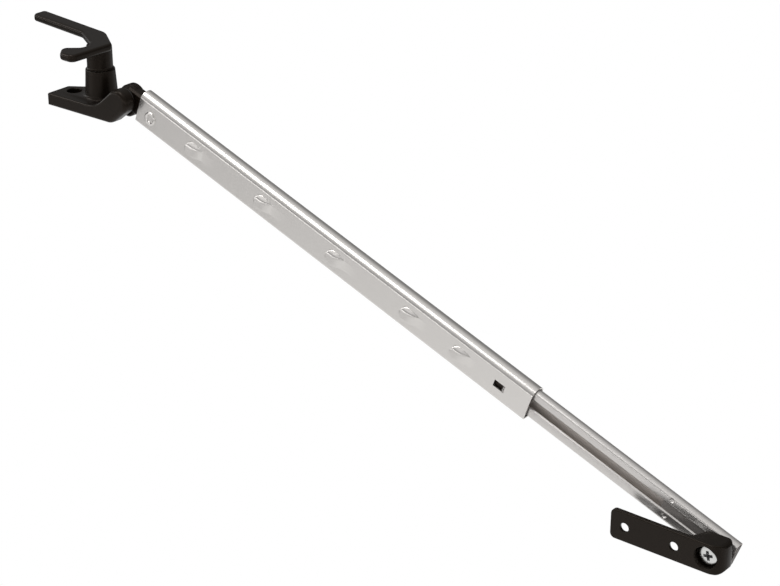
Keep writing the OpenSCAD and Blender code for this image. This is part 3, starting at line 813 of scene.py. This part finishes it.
# %% [markdown]
# ## Inner channel
# The inner rail is the same kind of sheet, rolled into a channel with a slot down its front. Its
# shape follows a rule, one section along one line, so Geometry Nodes sweep it: the section is the
# object's own mesh, the line runs between two named stations, and the tree ends in a material.
# Two dimples and a slanted end are cut afterwards, and the inside gets a raw finish.

# %% Sweep tree
RAIL_POINTS = 280


def sweep_tree():
    """Geometry Nodes that sweep a section, drawn as edges, along X between two stations."""
    tree = bpy.data.node_groups.new("rail_sweep", "GeometryNodeTree")

    def socket(name, kind, in_out="INPUT"):
        return tree.interface.new_socket(name, in_out=in_out, socket_type="NodeSocket" + kind)

    socket("Section", "Geometry")
    inputs = {"From": socket("From", "Float"), "To": socket("To", "Float")}
    inputs["Finish"] = socket("Finish", "Material")
    socket("Rail", "Geometry", "OUTPUT")
    start = tree.nodes.new("NodeGroupInput")
    end = tree.nodes.new("NodeGroupOutput")
    line = tree.nodes.new("GeometryNodeCurvePrimitiveLine")
    near, far = (tree.nodes.new("ShaderNodeCombineXYZ") for _ in range(2))
    points = tree.nodes.new("GeometryNodeResampleCurve")
    points.inputs["Count"].default_value = RAIL_POINTS
    section_line = tree.nodes.new("GeometryNodeMeshToCurve")
    sweep = tree.nodes.new("GeometryNodeCurveToMesh")
    sweep.inputs["Fill Caps"].default_value = True
    realize = tree.nodes.new("GeometryNodeRealizeInstances")
    paint = tree.nodes.new("GeometryNodeSetMaterial")
    tree.links.new(start.outputs["From"], near.inputs["X"])
    tree.links.new(start.outputs["To"], far.inputs["X"])
    tree.links.new(near.outputs[0], line.inputs["Start"])
    tree.links.new(far.outputs[0], line.inputs["End"])
    tree.links.new(line.outputs[0], points.inputs["Curve"])
    tree.links.new(start.outputs["Section"], section_line.inputs["Mesh"])
    tree.links.new(points.outputs[0], sweep.inputs["Curve"])
    tree.links.new(section_line.outputs[0], sweep.inputs["Profile Curve"])
    tree.links.new(sweep.outputs[0], realize.inputs[0])
    tree.links.new(realize.outputs[0], paint.inputs["Geometry"])
    tree.links.new(start.outputs["Finish"], paint.inputs["Material"])
    tree.links.new(paint.outputs[0], end.inputs[0])
    return tree, {name: made.identifier for name, made in inputs.items()}


# %% Section of the channel
CHANNEL_D, CHANNEL_R, CHANNEL_BOTTOM, CHANNEL_WALL = 6.4, 4.3, -9.0, 1.0
CHANNEL_DOME_Z, CHANNEL_CORNER, CHANNEL_BEND, TIGHTENS = DOME_Z + 0.35, 2.0, 1.2, 0.6
CHANNEL_START, CHANNEL_END, SLOT_LOW, SLOT_TOP, LIP_R = 204.0, 482.1, -2.05, 3.85, 0.85


def channel_skin(inset):
    """Points of (y, height) from the slot's upper lip, over the dome, to near its lower lip."""
    return domed_section(CHANNEL_D - 2 * inset, CHANNEL_R - inset, CHANNEL_DOME_Z,
                         CHANNEL_BOTTOM + inset, CHANNEL_CORNER - TIGHTENS * inset,
                         CHANNEL_BEND - TIGHTENS * inset, [])


face, inner_face = -CHANNEL_D / 2, -CHANNEL_D / 2 + CHANNEL_WALL
low_lip = [
    (face, SLOT_LOW - 0.8), (face + 0.04, SLOT_LOW - 0.66), (face + 0.14, SLOT_LOW - 0.56),
    (face + 0.84, SLOT_LOW - 0.09), (face + 0.93, SLOT_LOW - 0.06), (inner_face, SLOT_LOW - 0.2),
]
high_lip = [(inner_face, SLOT_TOP + 0.15)]
high_lip += arc_points((face + LIP_R, SLOT_TOP + LIP_R), LIP_R, 270, 180, 7)
ring = channel_skin(0.0) + low_lip + channel_skin(CHANNEL_WALL)[::-1] + high_lip
print("channel section of", len(ring), "points")

# %% Inner channel
# The sweep lays a section's X and Y along the rail's -Y and -Z
bm = bmesh.new()
verts = [bm.verts.new((-(ARM_Y + y), -n, 0)) for y, n in ring]
for a, b in zip(verts, verts[1:] + verts[:1]):
    bm.edges.new((a, b))
channel = new_object("inner_channel_sheet", bm, shaded_inner_silver)
rail_sweep, rail_input = sweep_tree()
swept = channel.modifiers.new("sweep", "NODES")
swept.node_group = rail_sweep
swept[rail_input["From"]] = CHANNEL_START * MM
swept[rail_input["To"]] = CHANNEL_END * MM
swept[rail_input["Finish"]] = shaded_inner_silver
settle(channel)
arm_place = Matrix.Translation((KNUCKLE.x * MM, 0, KNUCKLE.y * MM))
channel.data.transform(arm_place @ Matrix.Rotation(ARM_DROOP, 4, "Y"))
low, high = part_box("inner_channel")
print("channel", [tuple(round(c * 1000, 1) for c in v) for v in (low, high)])

# %% Dimples and cut end of the channel
DIMPLES = [(437.2, -4.8), (437.4, 7.3)]
DIMPLE_CLEAR = 2.3
dimple = [(0, 5.74), (0.85, 5.74), (1.05, 5.82), (1.7, 6.7), (2.0, 7.1), (2.0, 9.0), (0, 9.0)]
dimple_spots = [ARM @ Matrix.Translation((s, 0, n)) @ FROM_FRONT for s, n in DIMPLES]
end_cut = [(476.0, -13, 0), (491, -13, 0), (491, 5.5, 0), (482.9, 5.5, 0.5)]
carve(channel, [
    *(lathe(dimple, spot, 32) for spot in dimple_spots),
    slab(end_cut, -5, 12, 0.1, 0.1, ARM @ FROM_FRONT, arc=1),
], "DIFFERENCE")
print("cut channel", len(channel.data.polygons), "faces")

# %% Inside of the channel
# A face belongs to the inside if its middle lies within a line through the sheet's thickness
channel.data.materials.append(raw_inside)
to_arm = ARM.inverted()
middle = channel_skin(CHANNEL_WALL * 0.6)
middle += [(inner_face - 0.4, SLOT_LOW), (inner_face - 0.4, SLOT_TOP)]
for polygon in channel.data.polygons:
    spot = to_arm @ (polygon.center / MM)
    y, n = spot.y - ARM_Y, spot.z
    crossings = sum(
        (a[1] > n) != (b[1] > n) and y < a[0] + (n - a[1]) * (b[0] - a[0]) / (b[1] - a[1])
        for a, b in zip(middle, middle[1:] + middle[:1])
    )
    dimpled = any(math.hypot(spot.x - s, spot.z - h) < DIMPLE_CLEAR for s, h in DIMPLES)
    polygon.material_index = 1 if crossings % 2 and not dimpled else 0
channel.data.shade_smooth()
channel.data.set_sharp_from_angle(angle=math.radians(CREASE))
dress(channel, "slide", "silver", "inner_channel")

# %% [markdown]
# ## Mouth guide
# A black collar fills the gap between the two rails at the sleeve's mouth and reaches back behind
# the small window. Its outside is the sleeve's section drawn in, and the channel's own section,
# drawn out by a hair, cuts the way through, so the rails can slide without rubbing.

# %% Mouth guide
GUIDE_START, GUIDE_END, GUIDE_PLAY, GUIDE_FIT = 318.8, 336.5, 0.15, 0.05
CLIP_BACK, CLIP_FRONT = 6.85, 7.35
collar = domed_section(SLEEVE_D - 2 * SLEEVE_WALL - 2 * GUIDE_FIT,
                       DOME_R - SLEEVE_WALL - GUIDE_FIT, DOME_Z,
                       -SLEEVE_H / 2 + SLEEVE_WALL + GUIDE_FIT, 0.8, 1.0, [])
clip = [(310.6, -4.6, 0.4), (319.6, -4.6, 0.4), (319.6, 1.7, 0.4), (310.6, 1.7, 0.4)]
way = channel_skin(-GUIDE_PLAY)


def along_arm(section, start, end, low_round, high_round, arc):
    """A slab of a rail's section, taken the right way round, along the arm."""
    corners = [(ARM_Y + y, n, 0) for y, n in reversed(section)]
    return slab(corners, start, end, low_round, high_round, ARM @ ALONG_ARM, arc=arc)


guide = new_object("mouth_guide_moulding",
                   along_arm(collar, GUIDE_START, GUIDE_END, 0.2, 0.3, arc=2), black)
carve(guide, [slab(clip, CLIP_BACK, CLIP_FRONT, 0.1, 0.1, ARM @ FROM_FRONT, arc=2)], "UNION")
carve(guide, [along_arm(way, GUIDE_START - 12, GUIDE_END + 5, 0.01, 0.01, arc=1)], "DIFFERENCE")
dress(soften(guide), "arm", "black", "mouth_guide")

# %% [markdown]
# ## End bracket
# The bracket is a flat bar with two screw holes and a thick block around the pivot. Seen from
# above, its plan has the step and the hollow curve between bar and block; seen from the front, it
# has round corners. Each drawing makes a tall slab, and the bracket is what the two share. Its
# edges are clean, so here a Bevel modifier can round them.

# %% End bracket
PIVOT = Matrix.Translation((476.348, 0, -147.434))
BRACKET_FRONT, BAR_T, BLOCK_BACK = 21.0, 3.5, 6.84
BAR_REACH, BLOCK_END, BAR_HALF, BRACKET_RIM = 61.2, 10.5, 9.1, 0.8
bar_plan = [
    (-BAR_REACH, -BRACKET_FRONT, 0), (BLOCK_END, -BRACKET_FRONT, 8.8),
    (BLOCK_END, -BLOCK_BACK, 4.4), (-6.6, -BLOCK_BACK, 4.0),
    (-10.4, -BRACKET_FRONT + BAR_T, 5.0), (-BAR_REACH, -BRACKET_FRONT + BAR_T, 0),
]
bar_side = [
    (-BAR_REACH, -BAR_HALF - 0.4, 3.2), (BLOCK_END, -BAR_HALF, 4.6),
    (BLOCK_END, BAR_HALF, 3.2), (-BAR_REACH, BAR_HALF, 3.2),
]
SHARP = {"low_round": 0.01, "high_round": 0.01, "arc": 1, "rest": 0.01}
bracket = new_object("end_bracket_moulding", slab(bar_plan, -20, 20, place=PIVOT, **SHARP), black)
carve(bracket, [slab(bar_side, 0, 30, place=PIVOT @ FROM_FRONT, **SHARP)], "INTERSECT")
rim = bracket.modifiers.new("rim", "BEVEL")
rim.width, rim.segments = BRACKET_RIM * MM, 5
rim.limit_method, rim.angle_limit = "ANGLE", math.radians(40)
rim.use_clamp_overlap = False
settle(bracket)
print("bracket", len(bracket.data.polygons), "faces")

# %% Holes of the bracket
BAR_HOLES_X, BAR_HOLES_Z = (-19.8, -51.8), -0.2
HEAD_POCKET_R, HEAD_POCKET_SEAT, BUSH_R = 6.7, 12.04, 4.05


def bracket_hole(radius, deep, lip):
    """A round cutter from the bracket's front, with a rounded mouth."""
    mouth = arc_points((radius + lip, BRACKET_FRONT - lip), lip, 180, 90, 4)
    above = BRACKET_FRONT + 1
    return [(0, deep), (radius, deep)] + mouth + [(radius + lip, above), (0, above)]


bar_hole = [(0, 15.0), (4.6, 15.0), (4.6, 17.6), (2.9, 19.2)] + bracket_hole(2.8, 19.4, 0.3)[1:]
head_pocket = bracket_hole(HEAD_POCKET_R, HEAD_POCKET_SEAT, 0.5)
carve(bracket, [
    *(lathe(bar_hole, PIVOT @ Matrix.Translation((x, 0, BAR_HOLES_Z)) @ FROM_FRONT, 48)
      for x in BAR_HOLES_X),
    lathe(head_pocket, PIVOT @ Matrix.Translation((0.0, 0, 0.2)) @ FROM_FRONT, 64),
    lathe(rod(BUSH_R, 5.0, 13.0), PIVOT @ FROM_FRONT, 48),
], "DIFFERENCE")
dress(soften(bracket), "bracket", "black", "end_bracket")

# %% [markdown]
# ## Pivot screw and rivet
# The pivot screw has a nearly flat head with a cross recess whose wings taper towards the middle.
# The rivet that holds the plug in the sleeve is spread at both ends into a raised ring with a
# hollow in its middle. Both are turned. The recess is cut with a cross that narrows as it goes
# down, and its walls get the darker steel finish as painted shade.

# %% Pivot screw
HEAD_R, HEAD_FACE, HEAD_SEAT, TIP, SHANK_R = 5.8, 18.1, 13.24, 1.44, 2.5
HEAD_AT = PIVOT @ Matrix.Translation((0.3, 0, 0.3)) @ FROM_FRONT
head = [
    (0, TIP), (2.0, TIP), (SHANK_R, TIP + 0.5), (SHANK_R, HEAD_SEAT), (HEAD_R - 0.3, HEAD_SEAT),
    (HEAD_R, HEAD_SEAT + 0.3), (HEAD_R, HEAD_FACE - 0.75), (HEAD_R - 0.1, HEAD_FACE - 0.5),
    (HEAD_R - 0.35, HEAD_FACE - 0.3), (4.4, HEAD_FACE - 0.16), (3.0, HEAD_FACE - 0.06),
    (1.6, HEAD_FACE - 0.02), (0, HEAD_FACE),
]
screw = new_object("pivot_screw_turned", lathe(head, HEAD_AT, 72), zinc)
print("screw", len(screw.data.polygons), "faces")

# %% Cross recess
CROSS_REACH, CROSS_WIDTH, CROSS_DEPTH, CROSS_FLOOR, CROSS_CORNER = 3.3, 1.9, 2.2, 0.42, 1.15
CROSS_TURN = math.radians(12)


def cross_cutter(reach, width, top, depth):
    """A cross that narrows from its mouth to a blunt point."""
    plan = []
    for k in range(4):
        turn = Matrix.Rotation(math.pi / 2 * k, 2)
        plan += [
            turn @ Vector((reach, -width / 2)), turn @ Vector((reach, width / 2)),
            turn @ Vector((width / 2, width / 2)) * CROSS_CORNER,
        ]
    bm = bmesh.new()
    mouth = [bm.verts.new((p.x, p.y, top + 0.4)) for p in plan]
    floor = [bm.verts.new((p.x * CROSS_FLOOR, p.y * CROSS_FLOOR, top - depth)) for p in plan]
    bridge(bm, floor, mouth)
    bm.faces.new(mouth)
    bm.faces.new(reversed(floor))
    bmesh.ops.recalc_face_normals(bm, faces=bm.faces)
    return bm


recess = cross_cutter(CROSS_REACH, CROSS_WIDTH, HEAD_FACE, CROSS_DEPTH)
recess_place = HEAD_AT @ Matrix.Rotation(CROSS_TURN, 4, "Z")
bmesh.ops.transform(recess, matrix=recess_place, verts=recess.verts)
carve(screw, [recess], "DIFFERENCE")
# Painted shade: the walls of the cross recess take the darker steel finish in place of the zinc
screw.data.materials.append(steel_and_recess_shade)
from_head = HEAD_AT.inverted()
for polygon in screw.data.polygons:
    spot = from_head @ (polygon.center / MM)
    in_recess = HEAD_FACE - 2.5 < spot.z < HEAD_FACE - 0.25
    if math.hypot(spot.x, spot.y) < CROSS_REACH + 0.1 and in_recess:
        polygon.material_index = 1
dress(soften(screw), "slide", "zinc", "pivot_screw")

# %% Plug rivet
RIVET_FRONT, RIVET_BACK = 8.94, -2.06
ring_height = [
    (4.6, 0.0), (4.5, 0.35), (4.2, 0.75), (3.75, 1.0), (3.25, 1.02), (2.85, 0.8), (2.4, 0.25),
    (1.9, -0.45), (1.4, -0.85), (0.7, -1.05), (0.0, -1.1),
]
rivet_turned = (
    [(r, RIVET_BACK - z) for r, z in reversed(ring_height)]
    + [(RIVET_R, RIVET_BACK), (RIVET_R, RIVET_FRONT)]
    + [(r, RIVET_FRONT + z) for r, z in ring_height]
)
rivet = new_object("plug_rivet_turned", lathe(rivet_turned, RIVET_AT, 64), silver)
dress(soften(rivet), "arm", "silver", "plug_rivet")

# %% [markdown]
# ## Pieces that keep their solids
# Washers, pins, the pawl and the inserts are plain turned or moulded shapes that are mostly
# hidden. Their solids are right as they are and only need their finish.

# %% Finishes of the other pieces
KEPT = {
    zinc: ["spindle_washer", "spindle_screw", "pivot_bush", "pivot_washer"],
    dull_insert: ["end_insert"],
    steel_and_recess_shade: ["spring_washer", "knuckle_pin", "pawl", "pawl_pin", "pawl_spring"],
    nylon: ["knuckle_washer", "slide_shoe"],
}
for material, names in KEPT.items():
    for name in names:
        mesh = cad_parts[name].data
        mesh.materials.clear()
        mesh.materials.append(material)
    print(material.name, "on", ", ".join(names))

# %% [markdown]
# ## Size
# The dressed stay's overall span is measured and printed.

# %% Size and finish
bpy.context.scene.view_settings.view_transform = "Standard"
dressed_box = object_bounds()
dressed_span = np.array(dressed_box[1]) - np.array(dressed_box[0])
print("dressed span", [round(float(v) * 1000, 1) for v in dressed_span], "mm")
